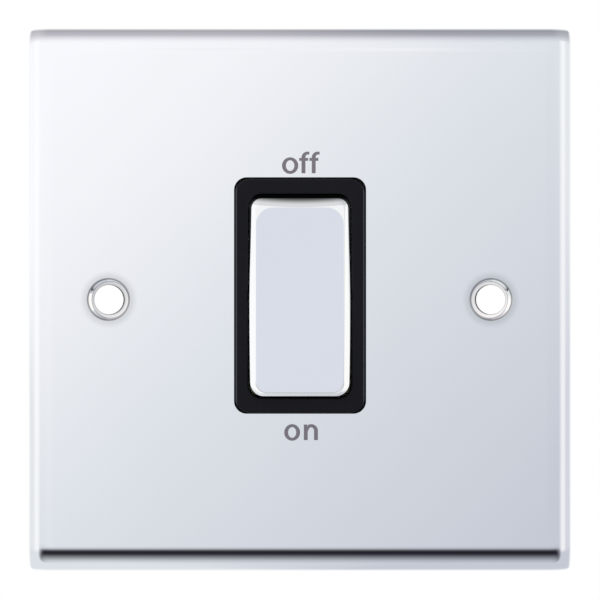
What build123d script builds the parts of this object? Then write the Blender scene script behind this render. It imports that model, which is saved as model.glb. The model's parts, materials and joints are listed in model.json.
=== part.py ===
from build123d import *
import os
from math import asin, cos, radians, sin, sqrt

# X runs to the right, Z up, and Y into the wall. The wall is at y = 0.

# Front plate, a pressed sheet tray with a rounded bevel on all four sides
plate_width = 85.85
plate_height = 85.85
plate_depth = 4.5  # wall to front face
sheet = 1.2
bevel_width = 3.8
bevel_angle = 65.0  # slope of the bevel where it meets the rim
plate_corner = 1.6
corner_ease = 0.15  # the corner arc crosses the rim at a slight angle

# Fixing holes, countersunk in pressed dimples
fixing_spacing = 60.3
fixing_hole_r = 2.3
countersink_r = 3.4
dimple_height = 1.0  # formed cone behind the sheet
dimple_lip = 0.4  # rolled edge round the countersink

# Rocker, which turns on trunnions and has ends curved about them
rocker_width = 16.05
rocker_radius = 16.0  # pivot to the curved ends
rocker_face = 1.8  # pivot to the flat face
rocker_tilt = 7.0  # to either side of level
rocker_side_gap = 0.13
rocker_end_gap = 0.12
cap_wall = 0.7
cap_fit = 0.05
cap_corner = 2.0
cap_edge = 0.85
cap_skirt = 1.5  # cap behind the pivot
body_wall = 1.3
body_skirt = 2.4  # rocker body behind the pivot
trunnion_r = 0.8
trunnion_length = 1.4
trunnion_gap = 0.05
trunnion_end_gap = 0.15

# Plungers and springs, in barrels behind the rocker
plunger_r = 1.85
plunger_gap = 0.05
plunger_reach = 10.9  # pivot to the centre of the plunger's round tip
plunger_seat = 3.6  # pivot to the plunger's inner end
barrel_wall = 0.7
barrel_reach = 6.9  # pivot to the barrel's mouth
barrel_inset = 0.4  # barrel to the side of the rocker body
spring_length = 3.8
spring_r = 1.3
spring_wire_r = 0.25
spring_turns = 4.0
wire_sides = 6

# Frame, the moulding round the rocker that carries the module
module_rise = 0.6  # module centre above the fixing holes
aperture_gap = 0.17
frame_proud = 0.8
frame_side = 2.05
frame_end = 2.3
frame_corner = 2.4
frame_edge = 0.4
frame_lip = 0.2
pivot_set = 1.6  # frame front to the rocker's pivot
cheek_reach = 4.9  # pivot to the rear of the cheeks
flange_thickness = 2.0
flange_lip = 2.0
flange_corner = 3.0
ear_margin = 4.2
post_size = 6.0

# See-saw contacts, each on a round-edged blade
bar_width = 5.2
bar_thickness = 2.0
bar_up = 12.8
bar_down = 6.0
bar_corner = 0.8
bar_swing = 8.5  # to either side of level
bar_play = 0.1  # plunger tip to bar, at level
blade_r = 0.5
blade_gap = 0.05
button_r = 1.8
button_height = 0.9
button_dome = 0.3
button_z = 10.5
contact_gap = 0.08  # between the closed buttons

# Tunnel terminals
strip_thickness = 1.5
block_width = 11.0
block_length = 12.0
block_wall = 1.2
clamp_wall = 3.2  # tapped wall behind the conductor bore
block_edge = 0.6
bore_r = 2.8
clamp_screw_r = 2.0
clamp_screw_length = 6.5
clamp_screw_pitch = 5.4
clamp_screw_gap = 0.15  # screw tip to the bore

# Base housing
fit = 0.1
base_wall = 2.4
base_floor = 2.5
base_corner = 1.6
base_edge = 0.6
cross_wall = 1.6
end_wall = 1.5
end_margin = 0.5
core_half = 4.4  # half the core between the terminal pockets
chamber_gap = 0.3
cavity_gap = 0.3
access_gap = 0.7
shroud_wall = 0.8
shroud_height = 1.4

# Screws
thread_gap = 0.03
housing_screw_r = 1.4
housing_head_r = 2.7
housing_head = 2.0
housing_bite = 5.0
head_sink = 0.6
boss_r = 3.2
module_screw_r = 1.5
module_head_r = 2.8
module_head = 1.3
module_margin = 3.2
bush_wall = 1.1
bush_short = 0.1
slot_width = 0.8
slot_depth = 0.7
screw_bevel = 0.3

# Earth terminal on the lower module screw
strap_thickness = 1.0
strap_width = 6.0
strap_reach = 26.0
earth_width = 7.0
earth_depth = 8.0
earth_bore_r = 1.6
earth_wall = 1.4
earth_screw_r = 1.75
earth_screw_length = 5.0
spigot_r = 1.5

# Depths, from the front to the rear
sheet_rear = sheet - plate_depth
frame_front = -plate_depth - frame_proud
flange_rear = sheet_rear + flange_thickness
pivot_y = frame_front + pivot_set
cheek_rear = pivot_y + cheek_reach
fulcrum_y = pivot_y + plunger_reach + plunger_r + bar_play + bar_thickness

# Where the two domed buttons of a pole meet, with the bar at the end of its swing
swing = radians(bar_swing)
dome_r = (button_r**2 + button_dome**2) / (2 * button_dome)
dome_back = dome_r - button_height
meet_y = fulcrum_y + button_z * sin(swing) - dome_back * cos(swing) + dome_r
meet_z = button_z * cos(swing) + dome_back * sin(swing)
strip_front = meet_y + contact_gap + button_height
floor_y = strip_front + strip_thickness
base_rear = floor_y + base_floor
bore_y = floor_y - clamp_wall - bore_r
block_front = bore_y - bore_r - block_wall

# Places across the module
opening_width = rocker_width + 2 * rocker_side_gap
opening_height = 2 * (rocker_radius + rocker_end_gap)
collar_width = opening_width + 2 * frame_side
collar_height = opening_height + 2 * frame_end
body_width = rocker_width - 2 * (cap_wall + cap_fit)
barrel_r = plunger_r + plunger_gap + barrel_wall
pole_x = body_width / 2 - barrel_inset - barrel_r
chamber_half = max(bar_width / 2, barrel_r) + chamber_gap
block_inner = core_half + fit
block_outer = block_inner + block_width
block_x = (block_inner + block_outer) / 2
pocket_outer = block_outer + fit
base_half_width = pocket_outer + base_wall

# Heights in the module, the same above and below its centre
chamber_end = bar_up + chamber_gap
pocket_near = chamber_end + cross_wall
block_near = pocket_near + fit
block_far = block_near + block_length
block_z = (block_near + block_far) / 2
base_half_height = block_far + end_margin
module_screw_z = base_half_height + module_margin
strap_x = strap_reach - earth_width / 2
clamp_screw_z = [block_z - clamp_screw_pitch / 2, block_z + clamp_screw_pitch / 2]

SIDES = {"left": -1, "right": 1}
ENDS = {"supply": -1, "load": 1}
REACH = 2 * plate_width  # longer than any cut


def slab(width, height, front, rear, corner=0.0):
    """A block seen from the front as width by height, from y = front to y = rear."""
    outline = RectangleRounded(width, height, corner) if corner else Rectangle(width, height)
    return Pos(0, rear, 0) * extrude(Plane.XZ * outline, rear - front)


def span(*limits):
    """A box between a pair of limits along X, Y and Z."""
    sizes = [abs(far - near) for near, far in limits]
    middle = [(near + far) / 2 for near, far in limits]
    return Pos(*middle) * Box(*sizes)


def turned(*points):
    """A solid turned about the Y axis from (radius, y) points."""
    return revolve(make_face(Polyline(*points, close=True)), Axis.Y)


def rod(radius, front, rear):
    return turned((0, front), (radius, front), (radius, rear), (0, rear))


def cross_rod(radius, length):
    """A rod along X, centred on the origin."""
    return extrude(Plane.YZ * Circle(radius), length / 2, both=True)


def slotted(screw, end, radius):
    """Cuts the driver slot in the rear end of a screw."""
    depth = (end - slot_depth, end + slot_depth)
    return screw - span((-radius, radius), depth, (-slot_width / 2, slot_width / 2))


# Front plate
def tray_section(width, depth, arc_r):
    """Section across the plate: rim, bevel arc, flat face, bevel arc, rim."""
    half = width / 2
    flat = half - arc_r * sin(radians(bevel_angle))
    rim = arc_r * (1 - cos(radians(bevel_angle))) - depth
    middle = radians(bevel_angle / 2)
    over = (flat + arc_r * sin(middle), arc_r * (1 - cos(middle)) - depth)
    side = Line((half, 0), (half, rim)) + ThreePointArc((half, rim), over, (flat, -depth))
    face = Line((flat, -depth), (-flat, -depth))
    rear = Line((-half, 0), (half, 0))
    sides = side.edges() + mirror(side, about=Plane.YZ).edges()
    return make_face(sides + face.edges() + rear.edges())


def tray(width, height, depth, arc_r):
    """The bevelled form, mitred at its corners."""
    across = extrude(tray_section(width, depth, arc_r), height, both=True)
    upright = extrude(tray_section(height, depth, arc_r), width, both=True)
    return across & Rot(0, 90, 0) * upright


def make_front_plate():
    bevel_r = bevel_width / sin(radians(bevel_angle))
    plate = tray(plate_width, plate_height, plate_depth, bevel_r)
    eased_width = plate_width + 2 * corner_ease
    eased_height = plate_height + 2 * corner_ease
    plate &= slab(eased_width, eased_height, -2 * plate_depth, plate_depth, plate_corner)
    plate -= tray(plate_width - 2 * sheet, plate_height - 2 * sheet, plate_depth - sheet, bevel_r - sheet)
    hole_start = countersink_r - fixing_hole_r - plate_depth
    dimple_rear = sheet_rear + dimple_height
    bulge = turned(
        (0, sheet_rear),
        (countersink_r + sheet / 2, sheet_rear),
        (fixing_hole_r + sheet, dimple_rear),
        (0, dimple_rear),
    )
    countersink = turned(
        (0, -2 * plate_depth),
        (countersink_r, -2 * plate_depth),
        (countersink_r, -plate_depth),
        (fixing_hole_r, hole_start),
        (fixing_hole_r, plate_depth),
        (0, plate_depth),
    )
    for side in SIDES.values():
        place = Pos(side * fixing_spacing / 2, 0, 0)
        plate += place * bulge
        plate -= place * countersink
    lips = plate.edges().filter_by(GeomType.CIRCLE).filter_by(lambda e: abs(e.radius - countersink_r) < 1e-4)
    plate = fillet(lips, dimple_lip)
    aperture_width = collar_width + 2 * aperture_gap
    aperture_height = collar_height + 2 * aperture_gap
    aperture = slab(aperture_width, aperture_height, -2 * plate_depth, 0, frame_corner + aperture_gap)
    return plate - Pos(0, 0, module_rise) * aperture


def make_plate_bushes():
    bush = rod(module_screw_r + bush_wall, sheet_rear, flange_rear - bush_short)
    bush -= rod(module_screw_r + thread_gap, sheet_rear, flange_rear)
    return [Pos(0, 0, end * module_screw_z) * bush for end in ENDS.values()]


# Rocker, modelled about its pivot and level
def rocker_section(face, radius, rear):
    """Side view about the pivot: flat front, ends curved about the pivot, flat rear."""
    front_z = sqrt(radius**2 - face**2)
    rear_z = sqrt(radius**2 - rear**2)
    middle = (asin(rear / radius) - asin(face / radius)) / 2
    end = ThreePointArc((-face, front_z), (radius * sin(middle), radius * cos(middle)), (rear, rear_z))
    front = Line((-face, front_z), (-face, -front_z))
    back = Line((rear, rear_z), (rear, -rear_z))
    ends = end.edges() + mirror(end, about=Plane.XZ).edges()
    return Plane.YZ * make_face(ends + front.edges() + back.edges())


def trunnion_slot(radius, near, far):
    """A slot open to the rear, round at the pivot, between x = near and x = far on both sides."""
    outline = Circle(radius) + Pos(cheek_reach, 0) * Rectangle(2 * cheek_reach, 2 * radius)
    half = Pos(near, 0, 0) * extrude(Plane.YZ * outline, far - near)
    return half + mirror(half, about=Plane.YZ)


def make_rocker_cap():
    cap = extrude(rocker_section(rocker_face, rocker_radius, cap_skirt), rocker_width / 2, both=True)
    cap = fillet(cap.edges().filter_by(GeomType.CIRCLE), cap_corner)
    cap = fillet(cap.faces().sort_by(Axis.Y)[0].edges(), min(cap_edge, 0.9 * cap_corner))
    hollow = rocker_section(rocker_face - cap_wall, rocker_radius - cap_wall, 2 * cap_skirt)
    cap -= extrude(hollow, rocker_width / 2 - cap_wall, both=True)
    return cap - trunnion_slot(trunnion_r + fit, body_width / 2, rocker_width)


def make_rocker_body():
    face = rocker_face - cap_wall
    radius = rocker_radius - cap_wall - cap_fit
    body = extrude(rocker_section(face, radius, body_skirt), body_width / 2, both=True)
    hollow = rocker_section(face - body_wall, radius - body_wall, 2 * body_skirt)
    hollow = extrude(hollow, body_width / 2 - body_wall, both=True)
    bridge = barrel_r + barrel_inset
    body -= hollow - span((-REACH, REACH), (-REACH, REACH), (-bridge, bridge))
    body += cross_rod(trunnion_r, opening_width + 2 * trunnion_length)
    for side in SIDES.values():
        body += Pos(side * pole_x, 0, 0) * rod(barrel_r, -face / 2, barrel_reach)
    for side in SIDES.values():
        seat = plunger_seat - spring_length
        body -= Pos(side * pole_x, 0, 0) * rod(plunger_r + plunger_gap, seat, 2 * barrel_reach)
    return body


def make_plunger():
    return rod(plunger_r, plunger_seat, plunger_reach) + Pos(0, plunger_reach, 0) * Sphere(plunger_r)


def make_plunger_spring():
    height = spring_length - 2 * spring_wire_r
    start = plunger_seat - spring_length + spring_wire_r
    coil = Helix(height / spring_turns, height, spring_r, center=(0, start, 0), direction=(0, 1, 0))
    section = Plane(coil @ 0, z_dir=coil % 0) * RegularPolygon(spring_wire_r, wire_sides)
    return sweep(section, path=coil, is_frenet=True)


# See-saw contacts, modelled about the blade's edge and level
def make_moving_contact():
    bar = span((-bar_width / 2, bar_width / 2), (-bar_thickness, 0), (-bar_down, bar_up))
    bar = fillet(bar.edges().filter_by(Axis.Y), bar_corner)
    return bar - cross_rod(blade_r + blade_gap, 2 * bar_width)


def make_button():
    """A contact button with its domed end towards +Y."""
    rim = button_height - button_dome
    dome = TangentArc((0, button_height), (button_r, rim), tangent=(1, 0))
    wall = Polyline((button_r, rim), (button_r, 0), (0, 0), (0, button_height))
    return revolve(make_face(dome.edges() + wall.edges()), Axis.Y)


# Terminals, for the right-hand pole
def make_terminal(end):
    block = span((block_inner, block_outer), (block_front, floor_y), (end * block_near, end * block_far))
    block = chamfer(block.edges().filter_by(Axis.Z), block_edge)
    tongue_tip = meet_z - button_r - fit if end > 0 else blade_r
    tongue_root = end * (block_near + fit)
    tongue_x = (pole_x - bar_width / 2, pole_x + chamber_half - fit)
    terminal = block + span(tongue_x, (strip_front, floor_y), (tongue_tip, tongue_root))
    if end < 0:
        blade_x = (pole_x - bar_width / 2, pole_x + bar_width / 2)
        terminal += span(blade_x, (fulcrum_y, floor_y), (-blade_r, blade_r))
        terminal += Pos(pole_x, fulcrum_y, 0) * cross_rod(blade_r, bar_width)
    terminal -= Pos(block_x, bore_y, 0) * extrude(Circle(bore_r), REACH, both=True)
    for z in clamp_screw_z:
        terminal -= Pos(block_x, 0, end * z) * rod(clamp_screw_r + thread_gap, bore_y, REACH)
    return terminal


def make_terminal_screws():
    tip = bore_y + bore_r + clamp_screw_gap
    end = tip + clamp_screw_length
    screw = turned(
        (0, tip),
        (clamp_screw_r, tip),
        (clamp_screw_r, end - screw_bevel),
        (clamp_screw_r - screw_bevel, end),
        (0, end),
    )
    screw = slotted(screw, end, clamp_screw_r)
    places = [(s * block_x, e * z) for s in SIDES.values() for e in ENDS.values() for z in clamp_screw_z]
    return [Pos(x, 0, z) * screw for x, z in places]


# Frame and base housing
def make_rocker_frame():
    frame = slab(collar_width, collar_height, frame_front, cheek_rear, frame_corner)
    frame = fillet(frame.faces().sort_by(Axis.Y)[0].edges(), frame_edge)
    flange_width = 2 * (base_half_width + flange_lip)
    flange_height = 2 * (module_screw_z + ear_margin)
    frame += slab(flange_width, flange_height, sheet_rear, flange_rear, flange_corner)
    opening_corner = cap_corner + rocker_side_gap
    for end in ENDS.values():
        frame += Pos(0, 0, end * block_z) * rod(boss_r, sheet_rear, block_front - fit)
        for side in SIDES.values():
            post = slab(post_size, post_size, sheet_rear, block_front - fit)
            frame += Pos(side * block_x, 0, end * block_z) * post
    frame -= slab(opening_width, opening_height, 2 * frame_front, REACH, opening_corner)
    lip = frame.faces().sort_by(Axis.Y)[0].inner_wires()[0].edges()
    frame = chamfer(lip, frame_lip)
    bearing_x = opening_width / 2
    bearing_end = bearing_x + trunnion_length + trunnion_end_gap
    bearings = trunnion_slot(trunnion_r + trunnion_gap, bearing_x - fit, bearing_end)
    frame -= Pos(0, pivot_y, 0) * bearings
    for end in ENDS.values():
        pilot = rod(housing_screw_r + thread_gap, block_front - housing_bite - thread_gap, REACH)
        frame -= Pos(0, 0, end * block_z) * pilot
        ear_hole = rod(module_screw_r + bush_wall + fit, sheet_rear, flange_rear)
        frame -= Pos(0, 0, end * module_screw_z) * ear_hole
    return frame


def clamp_slot(radius, front, rear):
    """An upright slot round the pair of clamp screws of one terminal."""
    outline = SlotCenterToCenter(clamp_screw_pitch, 2 * radius, rotation=90)
    return Pos(0, rear, 0) * extrude(Plane.XZ * outline, rear - front)


def make_base_housing():
    base = slab(2 * base_half_width, 2 * base_half_height, flange_rear, base_rear, base_corner)
    base = chamfer(base.faces().sort_by(Axis.Y)[-1].edges(), base_edge)
    cheek_width = collar_width + 2 * cavity_gap
    cheek_height = collar_height + 2 * cavity_gap
    base -= slab(cheek_width, cheek_height, -REACH, cheek_rear + cavity_gap)
    access_r = clamp_screw_r + access_gap
    chamber_x = (pole_x - chamber_half, pole_x + chamber_half)
    void_x = (pole_x + chamber_half + cross_wall, pocket_outer)
    channel_x = (pole_x - bar_width / 2 - fit, pole_x + chamber_half)
    for end in ENDS.values():
        post_room = (end * pocket_near, end * (base_half_height - end_wall))
        base -= span((-pocket_outer, pocket_outer), (-REACH, block_front), post_room)
        for side in SIDES.values():
            across = [side * core_half, side * pocket_outer]
            base -= span(across, (block_front - fit, floor_y), (end * pocket_near, end * REACH))
            across = [side * x for x in channel_x]
            along = (end * (chamber_end - fit), end * (block_near + 2 * fit))
            base -= span(across, (strip_front - fit, floor_y), along)
            place = Pos(side * block_x, 0, end * block_z)
            base += place * clamp_slot(access_r + shroud_wall, floor_y, base_rear + shroud_height)
            base -= place * clamp_slot(access_r, floor_y - fit, REACH)
        screw_hole = rod(housing_screw_r + fit, 0, REACH)
        screw_hole += rod(housing_head_r + fit, base_rear - head_sink - housing_head, REACH)
        base -= Pos(0, 0, end * block_z) * screw_hole
    for side in SIDES.values():
        for limits in (chamber_x, void_x):
            across = [side * x for x in limits]
            base -= span(across, (-REACH, floor_y), (-chamber_end, chamber_end))
    return base


# Screws and earth terminal
def headed_screw(radius, head_r, head_height, seat, tip):
    """A cheese-headed screw whose head seats at y = seat and whose tip is at y = tip."""
    end = seat + head_height
    screw = turned(
        (0, tip),
        (radius, tip),
        (radius, seat),
        (head_r, seat),
        (head_r, end - screw_bevel),
        (head_r - screw_bevel, end),
        (0, end),
    )
    return slotted(screw, end, head_r)


def make_housing_screws():
    seat = base_rear - head_sink - housing_head
    screw = headed_screw(housing_screw_r, housing_head_r, housing_head, seat, block_front - housing_bite)
    return [Pos(0, 0, end * block_z) * screw for end in ENDS.values()]


def make_module_screws():
    """One screw seats on the frame's upper ear, the other on the earth strap."""
    tip = sheet_rear + bush_short
    upper = headed_screw(module_screw_r, module_head_r, module_head, flange_rear, tip)
    lower = headed_screw(module_screw_r, module_head_r, module_head, flange_rear + strap_thickness, tip)
    return [Pos(0, 0, module_screw_z) * upper, Pos(0, 0, -module_screw_z) * lower]


def make_earth_strap():
    front, rear = flange_rear, flange_rear + strap_thickness
    half = strap_width / 2
    strap = span((0, strap_reach), (front, rear), (-module_screw_z - half, -module_screw_z + half))
    strap += Pos(0, 0, -module_screw_z) * rod(half, front, rear)
    strap -= Pos(0, 0, -module_screw_z) * rod(module_screw_r + fit, front, rear)
    return strap - Pos(strap_x, 0, -module_screw_z) * rod(spigot_r + thread_gap, front, rear)


def make_earth_block():
    front = flange_rear + strap_thickness
    rear = front + earth_depth
    block = slab(earth_width, strap_width, front, rear)
    block = chamfer(block.edges().filter_by(Axis.Z), block_edge)
    block += rod(spigot_r, flange_rear, front)
    bore = front + earth_wall + earth_bore_r
    block -= Pos(0, bore, 0) * extrude(Circle(earth_bore_r), REACH, both=True)
    block -= rod(earth_screw_r + thread_gap, bore, REACH)
    return Pos(strap_x, 0, -module_screw_z) * block


def make_earth_screw():
    tip = flange_rear + strap_thickness + earth_wall + 2 * earth_bore_r + clamp_screw_gap
    end = tip + earth_screw_length
    screw = turned(
        (0, tip),
        (earth_screw_r, tip),
        (earth_screw_r, end - screw_bevel),
        (earth_screw_r - screw_bevel, end),
        (0, end),
    )
    return Pos(strap_x, 0, -module_screw_z) * slotted(screw, end, earth_screw_r)


# The assembly, at rest with the rocker off: its top pressed in, the contacts open
def save(name, *solids):
    shape = solids[0] if len(solids) == 1 else Compound(children=list(solids))
    export_step(shape, f"parts/{name}.step")


os.makedirs("parts", exist_ok=True)
module = Pos(0, 0, module_rise)
rocker = module * Pos(0, pivot_y, 0) * Rot(-rocker_tilt, 0, 0)

save("front_plate", make_front_plate())
save("plate_bushes", *[module * bush for bush in make_plate_bushes()])
save("rocker_frame", module * make_rocker_frame())
save("base_housing", module * make_base_housing())
save("module_screws", *[module * screw for screw in make_module_screws()])
save("housing_screws", *[module * screw for screw in make_housing_screws()])
save("terminal_screws", *[module * screw for screw in make_terminal_screws()])
save("earth_strap", module * make_earth_strap())
save("earth_block", module * make_earth_block())
save("earth_screw", module * make_earth_screw())
save("rocker_cap", rocker * make_rocker_cap())
save("rocker_body", rocker * make_rocker_body())

for side_name, side in SIDES.items():
    barrel = rocker * Pos(side * pole_x, 0, 0)
    save(f"plunger_{side_name}", barrel * make_plunger())
    save(f"plunger_spring_{side_name}", barrel * make_plunger_spring())
    see_saw = module * Pos(side * pole_x, fulcrum_y, 0) * Rot(bar_swing, 0, 0)
    save(f"moving_contact_{side_name}", see_saw * make_moving_contact())
    save(f"moving_button_{side_name}", see_saw * Pos(0, 0, button_z) * make_button())
    fixed = module * Pos(side * pole_x, strip_front, meet_z) * Rot(180, 0, 0)
    save(f"fixed_button_{side_name}", fixed * make_button())
    for end_name, end in ENDS.items():
        terminal = make_terminal(end)
        if side < 0:
            terminal = mirror(terminal, about=Plane.YZ)
        save(f"{end_name}_terminal_{side_name}", module * terminal)
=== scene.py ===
"""A polished wall switch for two poles: how it looks, piece by piece, in the order it goes together."""

import json
import math

import bmesh
import bpy
from mathutils import Matrix, Vector


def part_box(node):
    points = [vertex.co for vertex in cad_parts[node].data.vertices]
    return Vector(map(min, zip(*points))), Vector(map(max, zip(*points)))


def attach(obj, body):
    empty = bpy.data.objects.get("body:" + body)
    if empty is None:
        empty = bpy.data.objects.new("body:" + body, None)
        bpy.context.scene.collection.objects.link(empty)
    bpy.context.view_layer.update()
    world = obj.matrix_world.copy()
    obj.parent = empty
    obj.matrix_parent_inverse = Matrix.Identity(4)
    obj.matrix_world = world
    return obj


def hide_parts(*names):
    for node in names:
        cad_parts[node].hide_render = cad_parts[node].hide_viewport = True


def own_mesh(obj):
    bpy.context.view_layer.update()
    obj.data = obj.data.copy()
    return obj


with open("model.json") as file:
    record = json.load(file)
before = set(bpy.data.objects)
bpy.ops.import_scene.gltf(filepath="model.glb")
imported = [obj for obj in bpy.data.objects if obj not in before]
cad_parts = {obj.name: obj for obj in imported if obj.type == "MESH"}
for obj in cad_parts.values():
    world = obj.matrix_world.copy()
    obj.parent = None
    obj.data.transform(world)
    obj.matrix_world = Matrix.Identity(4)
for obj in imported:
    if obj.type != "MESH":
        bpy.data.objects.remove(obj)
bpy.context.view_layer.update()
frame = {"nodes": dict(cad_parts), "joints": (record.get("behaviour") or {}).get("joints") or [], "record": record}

# Front plate: one sheet of pressed steel with a rolled bevel on its four sides, polished and chromed.
# Two countersunk dimples take the fixing screws, and the switch module comes through the middle.
# The sheet is left dull behind, where it faces the wall.
MM = 0.001
plate_low, plate_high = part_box("front_plate")
plate_half = plate_high.x
face_y = plate_low.y
sheet = 1.2 * MM
bevel_width = 3.8 * MM
bevel_turn = math.radians(65)
bevel_steps = 18
bevel_r = bevel_width / math.sin(bevel_turn)
flat_half = plate_half - bevel_width
plan_corner = 1.0 * MM
# A narrow flat strip beside each rolled edge keeps the roll's shading off the face.
edge_strip = 0.12 * MM
fixing = next(m["dims"] for m in frame["record"]["mounts"] if m["name"] == "fixing_holes")
fixing_x = fixing["spacing_x_mm"] * MM / 2
hole_r = fixing["hole_r_mm"] * MM
hole_sides = 72
countersink_r = 3.29 * MM
cone_turn = math.radians(45)
lip_r = 0.3 * MM
lip_steps = 6
brink_strip = 0.04 * MM
bore_depth = 0.35 * MM
pivot = Vector(next(j["pos_m"] for j in frame["joints"] if j["name"] == "rocker_tilt"))
collar_half = Vector((10.205, 0, 18.42)) * MM
aperture_gap = Vector((0.21, 0, 0.22)) * MM
aperture_half = collar_half + aperture_gap
# The module sits a hair low and to the left in the opening.
aperture_middle = Vector((0.04 * MM, face_y, pivot.z + 0.05 * MM))
aperture_corner = 2.0 * MM
corner_steps = 10
# How far a point may be from a ring to lie on it, and from another point to be merged with it.
touch = 0.0001 * MM
weld = 0.001 * MM
steel_colour = (0.56, 0.56, 0.55, 1)
chrome_tint = (0.935, 0.942, 0.955, 1)
cone_tint = (0.98, 0.965, 0.95, 1)
cone_fade = 0.2 * MM
# Painted shade on the polished face: a dark line at each countersink's rim and brink, and a soft painted shadow
# round it.
line_core = 0.04 * MM
rim_line_r = countersink_r - 0.03 * MM
rim_line_reach = 0.2 * MM
rim_line_shade = 0.45
brink_line_r = hole_r + 0.07 * MM
brink_line_reach = 0.14 * MM
brink_line_shade = 0.78
halo_reach = 1.5 * MM
halo_shade = 0.2


def set_stops(elements, stops):
    """Gives a colour ramp its stops, each a place along it and a colour."""
    elements[0].position, elements[-1].position = stops[0][0], stops[-1][0]
    for place, _ in stops[1:-1]:
        elements.new(place)
    for element, (_, colour) in zip(elements, stops):
        element.color = colour


class Wire:
    """One output of a shader node. Sums written with it become Math nodes of the same tree."""

    def __init__(self, tree, socket=None):
        self.tree = tree
        self.socket = socket

    def node(self, kind, settings, inputs, output=0):
        """Adds a node of a kind, with its settings and the values or links of its sockets."""
        made = self.tree.nodes.new("ShaderNode" + kind)
        for name, value in settings.items():
            if name == "stops":
                set_stops(made.color_ramp.elements, value)
            else:
                setattr(made, name, value)
        for name, value in inputs.items():
            if isinstance(value, Wire):
                self.tree.links.new(value.socket, made.inputs[name])
            else:
                made.inputs[name].default_value = value
        return Wire(self.tree, made.outputs[output] if made.outputs else None)

    def __add__(self, other):
        return self.node("Math", {"operation": "ADD"}, {0: self, 1: other})

    def __sub__(self, other):
        return self.node("Math", {"operation": "SUBTRACT"}, {0: self, 1: other})

    def __rsub__(self, other):
        return self.node("Math", {"operation": "SUBTRACT"}, {0: other, 1: self})

    def __mul__(self, other):
        return self.node("Math", {"operation": "MULTIPLY"}, {0: self, 1: other})

    def __truediv__(self, other):
        return self.node("Math", {"operation": "DIVIDE"}, {0: self, 1: other})

    def __pow__(self, other):
        return self.node("Math", {"operation": "POWER"}, {0: self, 1: other})

    def __abs__(self):
        return self.node("Math", {"operation": "ABSOLUTE"}, {0: self})

    __radd__ = __add__
    __rmul__ = __mul__


def finish_of(name):
    """A new material, the wire that starts its tree, and the object's own coordinates."""
    material = bpy.data.materials.new(name)
    material.use_nodes = True
    material.node_tree.nodes.clear()
    start = Wire(material.node_tree)
    return material, start, start.node("TexCoord", {}, {}, "Object")


def surface(start, sockets):
    """Ends a material with one shader."""
    start.node("OutputMaterial", {}, {"Surface": start.node("BsdfPrincipled", {}, sockets)})


def axes(vector):
    """The three parts of a vector."""
    return [vector.node("SeparateXYZ", {}, {"Vector": vector}, axis) for axis in "XYZ"]


def grain(place, cells, detail=2.0, rough=0.5):
    """Even noise about 0.5, with so many cells to the metre."""
    sockets = {"Vector": place, "Scale": cells, "Detail": detail, "Roughness": rough}
    return place.node("TexNoise", {}, sockets)


def fade(value, near, far, low=0.0, high=1.0):
    """Goes smoothly from low, where the value is near, to high, where it is far."""
    settings = {"interpolation_type": "SMOOTHSTEP"}
    sockets = {"Value": value, "From Min": near, "From Max": far, "To Min": low, "To Max": high}
    return value.node("MapRange", settings, sockets)


def mixed(factor, one, other):
    """One colour that gives way to another as the factor goes from 0 to 1."""
    return factor.node("Mix", {"data_type": "RGBA"}, {"Factor": factor, "A": one, "B": other}, "Result")


def shaded(colour, shade):
    """A colour multiplied by a value or by another colour."""
    settings = {"data_type": "RGBA", "blend_type": "MULTIPLY"}
    return shade.node("Mix", settings, {"Factor": 1.0, "A": colour, "B": shade}, "Result")


def polished_chrome(name, colouring):
    """Bright plating on polished metal, faintly clouded and wiped."""
    material, start, place = finish_of(name)
    cloudy = grain(place, cells=55, detail=3)
    wiped = grain(place, cells=900)
    colour = shaded(colouring(place), 0.99 + 0.02 * cloudy)
    rough = 0.012 + 0.012 * cloudy + 0.008 * wiped
    surface(start, {"Base Color": colour, "Metallic": 1.0, "Roughness": rough})
    return material


def plate_colouring(place):
    """The warmer cone of each countersink, a painted shade line at its two edges and a soft painted shadow
    outside.
    """
    x, _, z = axes(place)
    across = abs(x) - fixing_x
    away = (across * across + z * z) ** 0.5
    # Painted shade lines at the countersink's rim and brink.
    rim = fade(abs(away - rim_line_r), line_core, rim_line_reach, rim_line_shade, 1.0)
    brink_shade = fade(abs(away - brink_line_r), line_core, brink_line_reach, brink_line_shade, 1.0)
    outside = fade(away, countersink_r - cone_fade, countersink_r)
    # A soft painted shadow round each countersink.
    halo_shadow = fade(away, countersink_r, countersink_r + halo_reach, halo_shade, 0.0)
    metal = mixed(outside, cone_tint, chrome_tint)
    return shaded(metal, rim * brink_shade * (1 - outside * halo_shadow))


def dull_steel(name, colour):
    """Bare sheet with the fine lines of its rolling."""
    material, start, place = finish_of(name)
    rolled = place.node("Mapping", {}, {"Vector": place, "Scale": (1, 1, 14)})
    lines = grain(rolled, cells=260, detail=4, rough=0.6)
    bump = start.node("Bump", {}, {"Strength": 0.15, "Distance": 0.05 * MM, "Height": lines})
    sockets = {
        "Base Color": shaded(colour, 0.85 + 0.3 * lines),
        "Metallic": 1.0,
        "Roughness": 0.36 + 0.16 * lines,
        "Normal": bump,
    }
    surface(start, sockets)
    return material


def new_piece(name, bm, *materials, sharp=30):
    """A smooth object at the origin, creased at open edges and at those sharper than so many degrees."""
    for edge in bm.edges:
        edge.smooth = edge.is_manifold and edge.calc_face_angle() < math.radians(sharp)
    for face in bm.faces:
        face.smooth = True
    mesh = bpy.data.meshes.new(name)
    bm.to_mesh(mesh)
    bm.free()
    piece = bpy.data.objects.new(name, mesh)
    bpy.context.scene.collection.objects.link(piece)
    for material in materials:
        mesh.materials.append(material)
    return piece


def walled(piece, thickness):
    """Gives a skin its thickness, behind its outer face."""
    wall = piece.modifiers.new("wall", "SOLIDIFY")
    wall.thickness = thickness
    wall.offset = -1
    return wall


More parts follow.
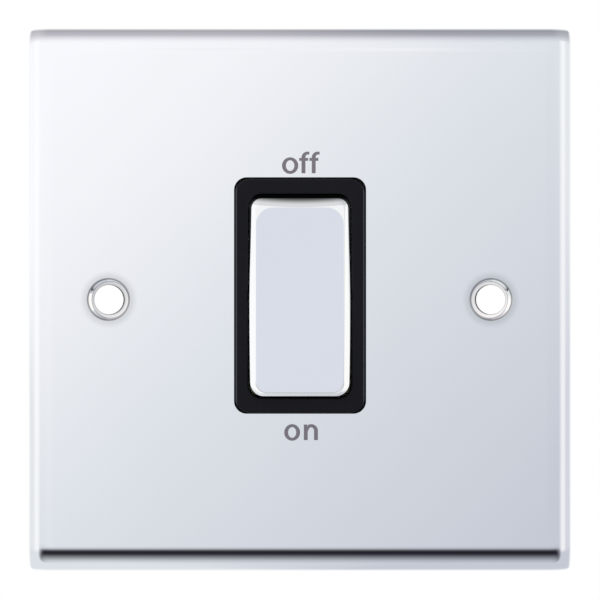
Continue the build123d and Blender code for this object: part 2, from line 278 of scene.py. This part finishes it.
def bevel_fall(x, z):
    """How far behind the flat face the skin lies. The falls of two bevels add up at a corner."""
    over = (max(abs(p) - flat_half, 0) for p in (x, z))
    return sum(bevel_r - math.sqrt(bevel_r**2 - p**2) for p in over)


def plan_rounded(x, z):
    """Draws a point at a corner of the square outline in to the round of the plan's corner."""
    square = plate_half - plan_corner
    over_x, over_z = ((abs(p) - square) / plan_corner for p in (x, z))
    if over_x <= 0 or over_z <= 0:
        return x, z
    round_x = square + plan_corner * over_x * math.sqrt(1 - over_z**2 / 2)
    round_z = square + plan_corner * over_z * math.sqrt(1 - over_x**2 / 2)
    return math.copysign(round_x, x), math.copysign(round_z, z)


def rounded_loop(bm, middle, half_x, half_z, corner):
    """The edges of an upright rounded rectangle about its middle."""
    made = bmesh.ops.create_grid(bm, x_segments=1, y_segments=1, size=1)["verts"]
    for v in made:
        v.co = middle + Vector((v.co.x * half_x, 0, v.co.y * half_z))
    rounded = bmesh.ops.bevel(
        bm, geom=made, affect="VERTICES", offset=corner, segments=corner_steps, profile=0.5, material=-1
    )
    face = max({f for v in rounded["verts"] for f in v.link_faces}, key=lambda f: f.calc_area())
    edges = list(face.edges)
    bmesh.ops.delete(bm, geom=[face], context="FACES_ONLY")
    return edges


def dimple(bm, x):
    """A countersunk hole, spun about its axis. Returns the edges of its outer ring, in the face."""
    outer = countersink_r + lip_r * math.tan(cone_turn / 2)
    ring_r = outer + edge_strip
    profile = [(ring_r, 0)]
    for step in range(lip_steps + 1):
        turn = cone_turn * step / lip_steps
        profile.append((outer - lip_r * math.sin(turn), lip_r * (1 - math.cos(turn))))
    slope = math.tan(cone_turn)
    fall = (countersink_r - hole_r) * slope
    profile += [(hole_r + brink_strip, fall - brink_strip * slope), (hole_r, fall)]
    profile += [(hole_r, fall + bore_depth)]
    verts = [bm.verts.new((x + r, face_y + y, 0)) for r, y in profile]
    edges = [bm.edges.new(pair) for pair in zip(verts, verts[1:])]
    bmesh.ops.spin(
        bm,
        geom=verts + edges,
        cent=(x, 0, 0),
        axis=(0, 1, 0),
        angle=math.tau,
        steps=hole_sides,
        use_merge=True,
    )

    def on_ring(v):
        return abs(math.hypot(v.co.x - x, v.co.z) - ring_r) < touch

    return [e for e in bm.edges if e.is_boundary and all(on_ring(v) for v in e.verts)]


def plate_skin():
    """The outer skin of the plate, from the aperture out over the bevel and down the rim."""
    bm = bmesh.new()
    # The grid's lines stand at odd numbers until they are placed.
    # Its middle cell becomes the flat face, and the cells round it the strip and the bevel.
    cells = 2 * bevel_steps + 3
    bmesh.ops.create_grid(bm, x_segments=cells, y_segments=cells, size=cells)
    turns = [bevel_turn * step / bevel_steps for step in range(bevel_steps + 1)]
    lines = [flat_half - edge_strip] + [flat_half + bevel_r * math.sin(turn) for turn in turns]
    for v in bm.verts:
        x, z = (math.copysign(lines[round((abs(p) - 1) / 2)], p) for p in v.co.xy)
        x, z = plan_rounded(x, z)
        v.co = (x, face_y + bevel_fall(x, z), z)
    middle = max(bm.faces, key=lambda f: f.calc_area())
    face_edges = list(middle.edges)
    bmesh.ops.delete(bm, geom=[middle], context="FACES_ONLY")
    rim = [e for e in bm.edges if e.is_boundary and e not in face_edges]
    for v in bmesh.ops.extrude_edge_only(bm, edges=rim)["geom"]:
        if isinstance(v, bmesh.types.BMVert):
            v.co.y = plate_high.y
    hole_edges = [e for side in (-1, 1) for e in dimple(bm, side * fixing_x)]
    opening = rounded_loop(bm, aperture_middle, *aperture_half.xz, aperture_corner)
    outlines = face_edges + hole_edges + opening
    bmesh.ops.triangle_fill(bm, edges=outlines, use_beauty=True, normal=(0, -1, 0))
    bmesh.ops.remove_doubles(bm, verts=bm.verts, dist=weld)
    bmesh.ops.recalc_face_normals(bm, faces=bm.faces)
    return bm


chrome = polished_chrome("polished_chrome", plate_colouring)
plate_back = dull_steel("dull_sheet_steel", steel_colour)
plate = new_piece("polished_plate", plate_skin(), chrome, plate_back, sharp=20)
plate_wall = walled(plate, sheet)
plate_wall.use_even_offset = True
plate_wall.material_offset = 1
plate_wall.material_offset_rim = 0
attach(plate, "switch_plate")
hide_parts("front_plate")

# Words: "off" above the rocker and "on" below it, printed in grey ink on the polished face.
# The letters are plain and round, a little thinner across than upright, and pad-printed.
ink_colour = (0.188, 0.167, 0.19, 1)
ink_height = 0.02 * MM
stem = 0.62 * MM
cross_stroke = 0.46 * MM
off_base = 19.92 * MM
on_base = -22.15 * MM
o_height = 2.62 * MM
o_drop = 0.1 * MM
o_stroke = 0.47 * MM
o_steps = 40
f_height = 3.41 * MM
f_bend = 0.92 * MM
f_hook = 1.24 * MM
f_bar_foot = 1.96 * MM
f_bar_left = -0.37 * MM
f_bar_right = 1.05 * MM
n_height = 2.52 * MM
n_bend = 1.06 * MM
n_stroke = 0.5 * MM
# Where the arch leaves the stem, below the letter's height, inside the arch and outside it.
n_crotch = 1.15 * MM
n_notch = 0.42 * MM
n_head_width = 0.92 * stem
n_head_drop = 0.06 * MM


def arc(cx, cz, rx, rz, start, end, steps):
    """Points along an upright ellipse, from one angle to another in degrees."""
    angles = [math.radians(start + (end - start) * s / steps) for s in range(steps + 1)]
    return [(cx + rx * math.cos(a), cz + rz * math.sin(a)) for a in angles]


def letter_o(width):
    """Two outlines, the outer and the counter."""
    rx, rz = width / 2, o_height / 2
    outer = arc(rx, rz, rx, rz, 0, 360, o_steps)[:-1]
    counter = arc(rx, rz, rx - stem, rz - o_stroke, 0, 360, o_steps)[:-1]
    return [outer, counter]


def letter_f():
    """One outline: a stem with a hooked head, and a bar across it."""
    bar_top = f_bar_foot + cross_stroke
    bend_z = f_height - f_bend
    outline = [(0, 0), (stem, 0), (stem, f_bar_foot), (f_bar_right, f_bar_foot), (f_bar_right, bar_top)]
    outline += [(stem, bar_top)]
    outline += arc(f_bend, bend_z, f_bend - stem, f_bend - cross_stroke, 180, 90, 6)
    outline += [(f_hook, f_height - cross_stroke), (f_hook, f_height)]
    outline += arc(f_bend, bend_z, f_bend, f_bend, 90, 180, 8)
    outline += [(0, bar_top), (f_bar_left, bar_top), (f_bar_left, f_bar_foot), (0, f_bar_foot)]
    return [outline]


def letter_n(width):
    """One outline: a stem and an arch that leaves it below its head."""
    centre = width - n_bend
    bend_z = n_height - n_bend
    head_z = n_height - n_head_drop
    outline = [(0, 0), (stem, 0), (stem, n_height - n_crotch)]
    outline += arc(centre, bend_z, n_bend - stem, n_bend - n_stroke, 170, 0, 10)
    outline += [(width - stem, 0), (width, 0)]
    outline += arc(centre, bend_z, n_bend, n_bend, 0, 118, 12)
    outline += [(n_head_width, n_height - n_notch), (n_head_width, head_z), (0, head_z)]
    return [outline]


def printed(letters):
    """Letters as outlines placed by (x, z), filled and given the thickness of the ink."""
    bm = bmesh.new()
    for outlines, x, z in letters:
        edges = []
        for outline in outlines:
            verts = [bm.verts.new((x + px, face_y, z + pz)) for px, pz in outline]
            edges += [bm.edges.new(pair) for pair in zip(verts, verts[1:] + verts[:1])]
        bmesh.ops.triangle_fill(bm, edges=edges, use_beauty=True, normal=(0, -1, 0))
    raised = bmesh.ops.extrude_face_region(bm, geom=list(bm.faces))["geom"]
    moved = [v for v in raised if isinstance(v, bmesh.types.BMVert)]
    bmesh.ops.translate(bm, verts=moved, vec=(0, -ink_height, 0))
    bmesh.ops.recalc_face_normals(bm, faces=bm.faces)
    return bm


def grey_ink():
    """Matt ink with a fine speckle."""
    material, start, place = finish_of("grey_ink")
    speckle = grain(place, cells=9000)
    colour = shaded(ink_colour, 0.9 + 0.2 * speckle)
    surface(start, {"Base Color": colour, "Roughness": 0.5 + 0.1 * speckle})
    return material


ink = grey_ink()
# Each letter, with the place of its left foot.
words = {
    "word_off": [
        (letter_o(2.57 * MM), -2.81 * MM, off_base - o_drop),
        (letter_f(), 0.27 * MM, off_base),
        (letter_f(), 1.88 * MM, off_base),
    ],
    "word_on": [
        (letter_o(2.51 * MM), -2.46 * MM, on_base - o_drop),
        (letter_n(2.23 * MM), 0.63 * MM, on_base),
    ],
}
for word, letters in words.items():
    print_piece = new_piece(word, printed(letters), ink)
    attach(print_piece, "switch_plate")

# Plate bushes: two tapped steel bushes, welded to the back of the plate above and below its opening.
# They are turned from bar and zinc plated, and they take the screws that hold the module.
zinc_colour = (0.68, 0.68, 0.66, 1)


def bright_metal(name, colour, roughness):
    """Metal as it comes from the tool or the plating bath, finely marked and a little cloudy."""
    material, start, place = finish_of(name)
    cut = grain(place, cells=1500, detail=3, rough=0.6)
    cloudy = grain(place, cells=120, detail=3)
    shade = 0.82 + 0.22 * cloudy + 0.12 * cut
    rough = roughness + 0.12 * cut + 0.1 * cloudy
    surface(start, {"Base Color": shaded(colour, shade), "Metallic": 1.0, "Roughness": rough})
    return material


def dress(material, *names):
    """Gives carried-over nodes their finish."""
    for name in names:
        mesh = frame["nodes"][name].data
        mesh.materials.clear()
        mesh.materials.append(material)


zinc = bright_metal("zinc_plate", zinc_colour, roughness=0.24)
dress(zinc, "plate_bushes")

# Rocker frame: the black surround and the flange behind the sheet, moulded in one.
# Its face has a fine spark-eroded texture, and the edge is eased where it stands out of the plate.
# Its cheeks carry the rocker's trunnions, and the bushes centre its two ears.
black = (0.0062, 0.0061, 0.0086, 1)
# Places across the eased edge, from the frame's outline, with minus inwards: a painted shadow along the outline,
# and a painted highlight line just inside it at the sides.
edge_shadow_band = (-0.12 * MM, -0.06 * MM)
edge_highlight_band = (-0.3 * MM, -0.22 * MM, -0.13 * MM, -0.08 * MM)
edge_highlight_gain = 8.0


def satin_moulding(name, colour, texture, roughness, specular, marks=None):
    """Moulded plastic with a fine texture and faint flow marks. Other marks, such as painted shading, may shade
    its colour.
    """
    material, start, place = finish_of(name)
    fine = grain(place, cells=texture, detail=3, rough=0.6)
    flow = grain(place, cells=60)
    shade = 0.9 + 0.12 * flow + 0.08 * fine
    if marks:
        shade = shade * marks(place)
    bump = start.node("Bump", {}, {"Strength": 0.12, "Distance": 0.04 * MM, "Height": fine})
    sockets = {
        "Base Color": shaded(colour, shade),
        "Roughness": roughness + 0.08 * fine,
        "Specular IOR Level": specular,
        "Normal": bump,
    }
    surface(start, sockets)
    return material


def black_plastic(name, marks=None):
    """The black of the frame and of the rocker body."""
    return satin_moulding(name, black, texture=6000, roughness=0.36, specular=0.11, marks=marks)


def larger(one, other):
    """The larger of two values."""
    return one.node("Math", {"operation": "MAXIMUM"}, {0: one, 1: other})


def band(value, start, full, last, end):
    """One from full to last, and nothing before start or after end."""
    return fade(value, start, full) * fade(value, last, end, 1.0, 0.0)


def painted_edge_shading(place):
    """Painted shading on the rounded outer edge: a painted shadow where it meets the plate, and a fine painted
    highlight line at the sides.
    """
    x, _, z = axes(place)
    side = abs(x - aperture_middle.x) - collar_half.x
    outline = larger(side, abs(z - pivot.z) - collar_half.z)
    return fade(outline, *edge_shadow_band, 1.0, 0.0) * (1 + edge_highlight_gain * band(side, *edge_highlight_band))


# The frame's black carries a painted shadow at its outline and a painted highlight line at its sides.
frame_black = black_plastic("frame_black", painted_edge_shading)
dress(frame_black, "rocker_frame")

# Earth terminal: a brass strap under the lower module screw, with a block and a screw at its far end.
# The strap is stamped from strip, and the block is sawn from bar, bored, tapped and riveted to it.
brass_colour = (0.80, 0.60, 0.30, 1)
brass = bright_metal("machined_brass", brass_colour, roughness=0.2)
dress(brass, "earth_strap", "earth_block")
dress(zinc, "earth_screw")

# Module screws: two zinc-plated cheese-headed screws with driver slots.
# The upper one seats on the frame's ear and the lower one on the earth strap.
dress(zinc, "module_screws")

# Rocker body: the black moulded rocker that turns on its trunnions, under the metal cap.
# It is moulded in the same black as the frame, with two barrels behind for the plungers.
black_moulding = black_plastic("black_moulding")
dress(black_moulding, "rocker_body")

# Plungers and springs: a nylon plunger with a round nose in each barrel, pushed out by a coil spring.
# The plungers are moulded and the springs are wound from round drawn wire.
# A spring seats on the floor of its barrel, and its plunger shortens it.
rest_tilt = math.radians(-7)
spring_r = 1.3 * MM
spring_turns = 4
spring_seat = -0.2 * MM
spring_length = 3.8 * MM
turn_steps = 32
wire_r = 0.25 * MM
wire_sides = 12
wire_colour = (0.42, 0.42, 0.44, 1)
nylon_colour = (0.78, 0.74, 0.62, 1)


def coil(place):
    """Round wire wound about the Y axis from the seat, then put in its barrel."""
    bm = bmesh.new()
    section = bmesh.ops.create_circle(bm, cap_ends=False, segments=wire_sides, radius=wire_r)["verts"]
    bmesh.ops.translate(bm, verts=section, vec=(spring_r, spring_seat + wire_r, 0))
    steps = turn_steps * spring_turns
    rise = (spring_length - 2 * wire_r) / steps
    bmesh.ops.spin(
        bm,
        geom=section + list(bm.edges),
        axis=(0, 1, 0),
        dvec=(0, rise, 0),
        angle=math.tau * spring_turns,
        steps=steps,
    )
    bmesh.ops.holes_fill(bm, edges=[e for e in bm.edges if e.is_boundary])
    bmesh.ops.recalc_face_normals(bm, faces=bm.faces)
    bmesh.ops.transform(bm, matrix=place, verts=bm.verts)
    return bm


nylon = satin_moulding("natural_nylon", nylon_colour, texture=3000, roughness=0.4, specular=0.5)
spring_wire = bright_metal("spring_wire", wire_colour, roughness=0.25)
for side in ("left", "right"):
    dress(nylon, f"plunger_{side}")
    barrel_x = sum(corner.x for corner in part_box(f"plunger_{side}")) / 2
    barrel = Matrix.Translation((barrel_x, *pivot.yz)) @ Matrix.Rotation(rest_tilt, 4, "X")
    spring = new_piece(f"coil_spring_{side}", coil(barrel), spring_wire, sharp=40)
    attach(spring, "rocker")
    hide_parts(f"plunger_spring_{side}")
    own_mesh(spring)

# Rocker cap: a thin drawn shell, chromed like the plate, that snaps over the moulded rocker.
# Its flat face has rolled edges, its two ends are curved about the trunnions, and its back is open.
# The sides are notched from behind for the trunnions.
side_trim = 0.09 * MM
cap_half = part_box("rocker_cap")[1].x - side_trim
cap_face = 1.8 * MM
cap_reach = 16.06 * MM
cap_skirt = 1.5 * MM
cap_wall = 0.5 * MM
cap_corner = 2.1 * MM
notch_r = 0.9 * MM
# A face belongs to a side when more than this share of its normal points sideways.
side_facing = 0.99
# Rows of edges across the shell let its sides bend.
row_pitch = 3 * MM
row_count = 4
side_edge = 1.0 * MM
top_edge = 1.7 * MM
bottom_edge = 0.6 * MM
edge_depth = 0.22 * MM
edge_steps = 10
# The sides roll over sooner than the ends, by this power of the way out.
side_roll = 1.5
# Shares of its width that the shell gains at its head and loses at its foot.
head_flare = 0.018
foot_taper = 0.026
panel_half = cap_half - side_edge
panel_foot = pivot.z - 15.22 * MM
panel_head = pivot.z + 13.96 * MM
panel_blend = (-0.1 * MM, 0.06 * MM)
foot_corner = 1.8 * MM
head_corner = 2.7 * MM
# The painted shade at the head curves up towards the sides, by this times the square of the way out.
shade_curve = 8
# Painted shade at the head, in two steps, where the cap tucks under the frame, and a painted shade line along the
# crease at its foot.
roll_band = (panel_head - 0.05 * MM, panel_head + 0.1 * MM)
roll_shade = 0.78
tuck_band = (panel_head + 0.35 * MM, panel_head + 1.42 * MM)
tuck_shade = 0.1
crease_core = 0.03 * MM
crease_reach = 0.16 * MM
crease_shade = 0.28
crease_band = (panel_foot + 2 * MM, panel_foot + 1 * MM)
# The face's own tint, and the white of a painted highlight on the rolled edges.
face_tint = (0.746, 0.772, 0.836, 1)
edge_highlight_tint = (0.965, 0.965, 0.95, 1)


def cap_colouring(place):
    """Painted highlight on the white rolled edges round a cooler face, painted shade at the head, where the cap
    tucks under the frame, and a painted shade line at the foot.
    """
    x, _, z = axes(place)
    middle = (panel_head + panel_foot) / 2
    reach = (panel_head - panel_foot) / 2
    corner = fade(z, panel_foot, panel_head, foot_corner, head_corner)
    out_x = larger(abs(x) - (panel_half - corner), 0)
    out_z = larger(abs(z - middle) - (reach - corner), 0)
    away = (out_x * out_x + out_z * out_z) ** 0.5 - corner
    # The rolled edges take the painted highlight's white.
    metal = mixed(fade(away, *panel_blend), face_tint, edge_highlight_tint)
    curved = z - x * x * shade_curve
    # Painted shade at the head, and a painted shade line along the foot's crease.
    rolled = fade(curved, *roll_band, 1.0, roll_shade)
    tuck_shadow = fade(curved, *tuck_band, 1.0, tuck_shade)
    crease_shade_line = fade(abs(away), crease_core, crease_reach, crease_shade, 0.0) * fade(z, *crease_band)
    return shaded(metal, rolled * tuck_shadow * (1 - crease_shade_line))


def cap_skin():
    """Rounded outlines from the flat face over the rolled edge to the open back, bridged in turn."""
    bm = bmesh.new()
    turns = [math.pi / 2 * step / edge_steps for step in range(edge_steps + 1)]
    outlines = [(math.sin(turn), edge_depth * (1 - math.cos(turn)) - cap_face) for turn in turns]
    outlines += [(1, cap_skirt * down) for down in (0, 0.5, 1)]
    loops = []
    for out, y in outlines:
        side_inset = side_edge * (1 - out**side_roll)
        reach = math.sqrt(cap_reach**2 - max(y, 0) ** 2)
        top = reach - (1 - out) * top_edge
        bottom = (1 - out) * bottom_edge - reach
        middle = Vector((0, y, (top + bottom) / 2))
        half_x, half_z = cap_half - side_inset, (top - bottom) / 2
        loops.append(rounded_loop(bm, middle, half_x, half_z, cap_corner - side_inset))
    for near, far in zip(loops, loops[1:]):
        bmesh.ops.bridge_loops(bm, edges=near + far)
    face = bmesh.ops.edgeloop_fill(bm, edges=loops[0])["faces"]
    bmesh.ops.inset_individual(bm, faces=face, thickness=edge_strip)
    rows = [notch_r] + [row_pitch * row for row in range(1, row_count + 1)]
    for z in rows + [-row for row in rows]:
        whole = [*bm.verts, *bm.edges, *bm.faces]
        bmesh.ops.bisect_plane(bm, geom=whole, plane_co=(0, 0, z), plane_no=(0, 0, 1))
    sides = [f for f in bm.faces if abs(f.normal.x) > side_facing]
    notches = [f for f in sides if abs(f.calc_center_median().z) < notch_r]
    bmesh.ops.delete(bm, geom=notches, context="FACES")
    bmesh.ops.recalc_face_normals(bm, faces=bm.faces)
    for v in bm.verts:
        along = v.co.z / cap_reach
        v.co.x *= 1 + (head_flare if along > 0 else -foot_taper) * along**2
    place = Matrix.Translation(pivot) @ Matrix.Rotation(rest_tilt, 4, "X")
    bmesh.ops.transform(bm, matrix=place, verts=bm.verts)
    return bm


cap_chrome = polished_chrome("chromed_cap", cap_colouring)
cap = new_piece("rocker_shell", cap_skin(), cap_chrome, sharp=35)
walled(cap, cap_wall)
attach(cap, "rocker")
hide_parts("rocker_cap")

# See-saw contacts: a copper bar on each pole that rocks on the blade of the supply terminal.
# The bars are stamped, and each has a silver button brazed near its upper end.
copper_colour = (0.80, 0.45, 0.30, 1)
silver_colour = (0.88, 0.87, 0.84, 1)
copper = bright_metal("stamped_copper", copper_colour, roughness=0.22)
silver = bright_metal("silver_alloy", silver_colour, roughness=0.2)
for side in ("left", "right"):
    dress(copper, f"moving_contact_{side}")
    dress(silver, f"moving_button_{side}")

# Terminals: four brass blocks, each bored for a conductor and tapped for two zinc-plated screws.
# The load terminals have tongues with the fixed silver buttons, and the supply terminals the blades.
for side in ("left", "right"):
    dress(brass, f"supply_terminal_{side}", f"load_terminal_{side}")
    dress(silver, f"fixed_button_{side}")
dress(zinc, "terminal_screws")

# Base housing: the pale thermoset box behind the frame, moulded with pockets for the terminals.
# Two long zinc-plated screws go through it into bosses on the frame.
pale = (0.80, 0.79, 0.75, 1)
pale_moulding = satin_moulding("pale_thermoset", pale, texture=2500, roughness=0.42, specular=0.5)
dress(pale_moulding, "base_housing")
dress(zinc, "housing_screws")

# Studio: a pale floor that runs out to white, and a graded studio that the polished metal shows.
# Two cards hang in front of the switch for it to mirror: a black one below, for the bottom bevel,
# and a small white one beside the rocker, for its right edge. A soft lamp lights the matt pieces.
white = (1, 1, 1, 1)
floor_colour = (0.86, 0.86, 0.86, 1)
floor_half = 2.0
floor_drop = 0.05 * MM
shadow_depth = 0.85
shadow_band = (0, 8 * MM, 45 * MM, 130 * MM)
shadow_sides = (plate_half - 9 * MM, plate_half - 2 * MM)
# The studio's places are slopes, across and up, of a surface that mirrors them to the front.
least_spread = 0.02
flat_slope = 0.045
flat_gain = 6.41
flat_stops = [
    (0.0, (0.995, 1.0, 1.03, 1)),
    (0.18, (0.945, 0.948, 0.978, 1)),
    (0.5, (0.765, 0.80, 0.838, 1)),
    (1.0, (0.600, 0.622, 0.692, 1)),
]
rocker_across = (0.013, 0.03)
rocker_up = (0.07, 0.095, 0.15, 0.18)
ceiling_tint = (0.505, 0.486, 0.516, 1)
ceiling_up = (0.35, 1.03)
ceiling_across = (0.2, 0.8)
ceiling_ends = 0.78
eaves_up = (1.0, 1.5)
eaves_shade = 0.84
window_white = (1.07, 1.07, 1.07, 1)
window_rise = (0.47, 0.74)
window_cover = 0.67
window_fall = (0.8, 1.13)
window_rest = 0.28
window_up = (-0.3, -0.1, 0.5, 0.58)
backdrop_slope = (1.46, 2.38)
black_paint = (0.005, 0.004, 0.011, 1)
black_y = face_y - 10 * MM
black_half = 90 * MM
black_top = -39.6 * MM
black_drop = 60 * MM
# How dark the card is on the way from its top edge to its foot.
black_stops = [
    (0.0, 0.0),
    (0.003, 0.045),
    (0.017, 0.235),
    (0.031, 0.57),
    (0.047, 0.86),
    (0.064, 0.965),
    (0.088, 0.985),
    (0.108, 0.968),
    (0.131, 0.925),
    (0.156, 0.83),
    (0.184, 0.73),
    (0.261, 0.49),
    (0.391, 0.225),
    (0.6, 0.1),
    (1.0, 0.0),
]
black_squeeze = (40 * MM, 66 * MM)
black_squeezed = 0.5
black_ends = (45 * MM, 66 * MM)
black_slant = 0.6
white_x = 8.7 * MM
white_near = face_y - 2.5 * MM
white_far = face_y - 15 * MM
white_rise = (white_far + 2 * MM, white_far + 6 * MM)
white_head = pivot.z + 18 * MM
white_foot = pivot.z - 17 * MM
white_soft = 3 * MM
lamp_place = Vector((-0.35, -0.6, 0.5))
lamp_size = 1.0
lamp_power = 2.0


def flat_light(across, up):
    """What flat faces mirror: white above on the left, falling to a cool grey below on the right."""
    limits = {"Min": -flat_slope, "Max": flat_slope}
    near_across, near_up = (slope.node("Clamp", {}, {"Value": slope, **limits}) for slope in (across, up))
    # The rocker's tilted face is even from side to side.
    rocker = fade(abs(across), *rocker_across, 1.0, 0.0) * band(up, *rocker_up)
    diagonal = near_across * (1 - rocker) - near_up
    return diagonal.node("ValToRGB", {"stops": flat_stops}, {"Fac": 0.5 + flat_gain * diagonal})


def ceiling_shade(across, up):
    """What dims the top bevel: a grey ceiling, paler towards the corners, and darker eaves above it."""
    above = fade(up, *ceiling_up) * fade(abs(across), *ceiling_across, 1.0, ceiling_ends)
    return shaded(mixed(above, white, ceiling_tint), fade(up, *eaves_up, 1.0, eaves_shade))


def side_windows(across, up):
    """Where white windows at the two sides cover the studio, for the side bevels."""
    rise = fade(abs(across), *window_rise, 0.0, window_cover)
    return rise * fade(abs(across), *window_fall, 1.0, window_rest) * band(up, *window_up)


def studio_light():
    """The world, by the slopes across and up of a surface that mirrors each direction to the front."""
    world = bpy.data.worlds.new("studio")
    bpy.context.scene.world = world
    world.use_nodes = True
    world.node_tree.nodes.clear()
    start = Wire(world.node_tree)
    x, y, z = axes(start.node("TexCoord", {}, {}, "Generated"))
    spread = larger(1 - y, least_spread)
    across, up = x / spread, z / spread
    studio = shaded(flat_light(across, up), ceiling_shade(across, up))
    lit = mixed(side_windows(across, up), studio, window_white)
    behind = fade(larger(abs(across), abs(up)), *backdrop_slope)
    seen = start.node("LightPath", {}, {}, "Is Camera Ray")
    colour = mixed(larger(behind, seen), lit, white)
    background = start.node("Background", {}, {"Color": colour, "Strength": 1.0})
    start.node("OutputWorld", {}, {"Surface": background})


def layered(start, cover, under, over):
    """Ends a material with two shaders, one over the other where the cover is 1."""
    layers = start.node("MixShader", {}, {0: cover, 1: under, 2: over})
    start.node("OutputMaterial", {}, {"Surface": layers})


def pale_floor():
    """Matt, and white to the eye away from the space behind the plate, where it shows the shadow."""
    material, start, place = finish_of("pale_floor")
    x, y, _ = axes(place)
    shadow = shadow_depth * band(y, *shadow_band) * fade(abs(x), *shadow_sides, 1.0, 0.0)
    seen = start.node("LightPath", {}, {}, "Is Camera Ray")
    matt = start.node("BsdfDiffuse", {}, {"Color": floor_colour})
    glow = start.node("Emission", {}, {"Color": white, "Strength": 1.0})
    layered(start, seen * (1 - shadow), matt, glow)
    return material


def painted_card(name, colour, cover):
    """Paint on a clear card. It covers a place by what the cover makes of it, from 0 to 1."""
    material, start, place = finish_of(name)
    clear = start.node("BsdfTransparent", {}, {})
    paint = start.node("Emission", {}, {"Color": colour, "Strength": 1.0})
    layered(start, cover(place), clear, paint)
    return material


def black_cover(place):
    """Dark soon below the top edge, then ever thinner, and drawn up at the two ends."""
    x, _, z = axes(place)
    below = black_top - z
    depth = fade(abs(x), *black_squeeze, 1.0, black_squeezed) * below / black_drop
    stops = [(share, (dark, dark, dark, 1)) for share, dark in black_stops]
    dark = depth.node("ValToRGB", {"stops": stops}, {"Fac": depth})
    return dark * fade(abs(x) - black_slant * below, *black_ends, 1.0, 0.0)


def white_cover(place):
    """On the side towards the rocker: full along its tilted face, gone at the far edge and the ends."""
    _, y, z = axes(place)
    rocker_side = place.node("NewGeometry", {}, {}, "Backfacing")
    out = y + math.tan(rest_tilt) * (z - pivot.z)
    ends = band(z, white_foot, white_foot + white_soft, white_head - white_soft, white_head)
    return rocker_side * fade(out, *white_rise) * ends


def hang(name, low, high, material):
    """An upright flat card between two opposite corners, that only the polished metal shows."""
    bm = bmesh.new()
    corners = (low, (*high[:2], low[2]), high, (*low[:2], high[2]))
    bm.faces.new([bm.verts.new(corner) for corner in corners])
    card = new_piece(name, bm, material)
    card.visible_camera = card.visible_diffuse = card.visible_shadow = False


studio_light()
floor_mesh = bmesh.new()
bmesh.ops.create_grid(floor_mesh, x_segments=1, y_segments=1, size=floor_half)
bmesh.ops.translate(floor_mesh, verts=floor_mesh.verts, vec=(0, 0, plate_low.z - floor_drop))
floor = new_piece("floor", floor_mesh, pale_floor())
floor.visible_glossy = False
black_card = painted_card("black_card", black_paint, black_cover)
black_low = (-black_half, black_y, black_top - black_drop)
hang("black_card", black_low, (black_half, black_y, black_top), black_card)
white_card = painted_card("white_card", white, white_cover)
hang("white_card", (white_x, white_far, white_foot), (white_x, white_near, white_head), white_card)
lamp = bpy.data.lights.new("softbox", "AREA")
lamp.energy = lamp_power
lamp.size = lamp_size
softbox = bpy.data.objects.new("softbox", lamp)
softbox.location = lamp_place
softbox.rotation_euler = (-lamp_place).to_track_quat("-Z", "Y").to_euler()
softbox.visible_glossy = False
bpy.context.scene.collection.objects.link(softbox)

# Camera: square on to the plate and half a metre away.
# The plate's middle stands a hair off the middle of the picture.
camera_distance = 500 * MM
camera_x = 0.03 * MM
camera_z = -0.06 * MM
field = 95.45 * MM
view = bpy.data.cameras.new("front")
view.sensor_width = 36
view.lens = view.sensor_width * camera_distance / field
viewer = bpy.data.objects.new("front", view)
viewer.location = (camera_x, -camera_distance, camera_z)
viewer.rotation_euler = (math.pi / 2, 0, 0)
bpy.context.scene.collection.objects.link(viewer)
bpy.context.scene.camera = viewer
bpy.context.scene.view_settings.view_transform = "Standard"
